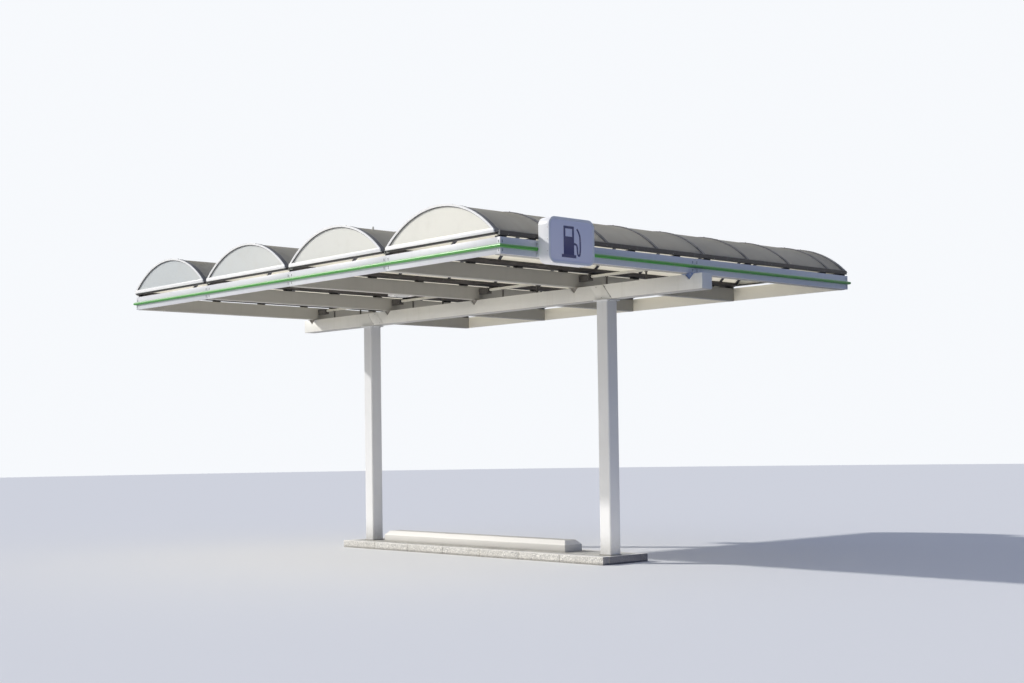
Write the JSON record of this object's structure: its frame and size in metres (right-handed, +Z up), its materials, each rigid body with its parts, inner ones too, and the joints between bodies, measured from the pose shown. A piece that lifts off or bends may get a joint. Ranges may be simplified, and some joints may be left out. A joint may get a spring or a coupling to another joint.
{
  "type": "filling station canopy",
  "caption": "Free-standing fuel forecourt canopy on square columns with a long box beam, barrel vault rooflights, striped fascias and a kerb island.",
  "frame": {"origin": "on the ground under the middle of the long beam, halfway between the columns, in the island's underside", "axes": "+X along the long beam towards the end with the sign box, +Z up, +Y across the canopy towards the back"},
  "size_m": [10.9, 8.472, 5.5927],
  "materials": {
    "kerb_stone": "rough granite",
    "paving_stone": "worn concrete paving",
    "plinth_white": "painted concrete",
    "column_white": "satin paint",
    "beam_white": "satin paint, weathered",
    "cross_grey": "satin paint, weathered",
    "shoe_steel": "dark paint",
    "block_black": "matte",
    "bronze_profile": "satin dark bronze",
    "cap_pale": "satin",
    "bronze_rib": "satin dark bronze",
    "vault_skin": "translucent, dusty",
    "end_panel_cream": "smooth translucent sheet",
    "trim_white": "gloss white",
    "gasket_black": "matte",
    "sill_dark": "satin dark bronze",
    "fascia_white": "satin white",
    "stripe_green": "gloss green",
    "bracket_grey": "satin",
    "sign_white": "gloss white",
    "sign_face_white": "lit sign sheet",
    "tube_white": "satin",
    "box_dark": "matte",
    "lamp_white": "satin",
    "lug_metal": "dull"
  },
  "bodies": {
    "root": {"kerb_stones": "kerb_stone", "island_paving": "paving_stone", "pump_plinth": "plinth_white", "column_left": "column_white", "column_right": "column_white", "column_caps": "column_white", "main_beam_left": "beam_white", "main_beam_middle": "beam_white", "main_beam_right": "beam_white", "splice_plates": "beam_white", "cross_beam_1": "cross_grey", "cross_beam_2": "cross_grey", "cross_beam_3": "cross_grey", "cross_beam_4": "cross_grey", "cross_beam_5": "cross_grey", "beam_shoes": "shoe_steel", "bearing_blocks": "block_black", "base_profiles": "bronze_profile", "profile_caps": "cap_pale", "valley_flashings": "bronze_profile", "vault_ribs_1": "bronze_rib", "vault_ribs_2": "bronze_rib", "vault_ribs_3": "bronze_rib", "vault_ribs_4": "bronze_rib", "vault_skin_1": "vault_skin", "vault_skin_2": "vault_skin", "vault_skin_3": "vault_skin", "vault_skin_4": "vault_skin", "end_panels": "end_panel_cream", "end_trims": "trim_white", "end_gaskets": "gasket_black", "end_bars": "trim_white", "end_sills": "sill_dark", "fascia_front": "fascia_white", "fascia_back": "fascia_white", "fascia_left": "fascia_white", "fascia_right": "fascia_white", "green_stripe": "stripe_green", "sign_bracket": "bracket_grey", "sign_box": "sign_white", "sign_face": "sign_face_white", "service_tubes": "tube_white", "service_boxes": "box_dark", "luminaires": "lamp_white", "ridge_lug": "lug_metal"}
  },
  "joints": []
}
